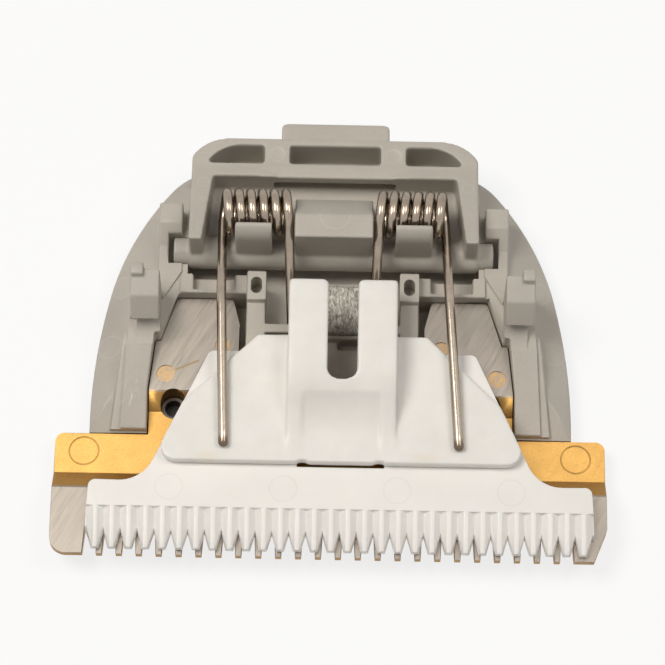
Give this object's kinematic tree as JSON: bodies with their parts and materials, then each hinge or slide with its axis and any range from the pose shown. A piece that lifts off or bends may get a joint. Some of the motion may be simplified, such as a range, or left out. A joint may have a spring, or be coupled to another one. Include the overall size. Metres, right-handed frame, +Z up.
{
  "type": "hair clipper blade",
  "caption": "Detachable clipper blade head: a wide steel comb, a sliding ceramic cutter with a drive fork, and a sprung lever with a hinge tab in a moulded cover.",
  "frame": {"origin": "middle of the underside of the bounding box, on the plane of the outer cover", "axes": "+X along the row of teeth, +Y from the teeth towards the hinge tab, +Z up from the outer cover towards the inside of the head"},
  "size_m": [0.046, 0.039, 0.0097],
  "materials": {
    "grey_plastic": "moulded, satin",
    "gilt_steel": "gold-toned coating, ground bare on the lands",
    "felt": "soft",
    "white_ceramic": "ground, satin",
    "white_plastic": "moulded, satin",
    "spring_steel": "drawn wire"
  },
  "bodies": {
    "head": {"housing": "grey_plastic", "fixed_blade": "gilt_steel", "oil_felt": "felt"},
    "cutter": {"moving_blade": "white_ceramic", "drive_follower": "white_plastic"},
    "lever": {"lever": "grey_plastic", "left_spring": "spring_steel", "right_spring": "spring_steel"}
  },
  "joints": [
    {"name": "cutter_slide", "type": "slide", "parent": "head", "child": "cutter", "axis": [1, 0, 0], "range_m": [-0.00215, 0.00035]},
    {"name": "lever_hinge", "type": "hinge", "parent": "head", "child": "lever", "pos_m": [0, 0.0074, 0.004], "axis": [1, 0, 0], "range_deg": [0, 10], "stiffness_Nm_per_rad": 0.01, "springref_deg": -2.86, "deforming": ["left_spring", "right_spring"]}
  ]
}
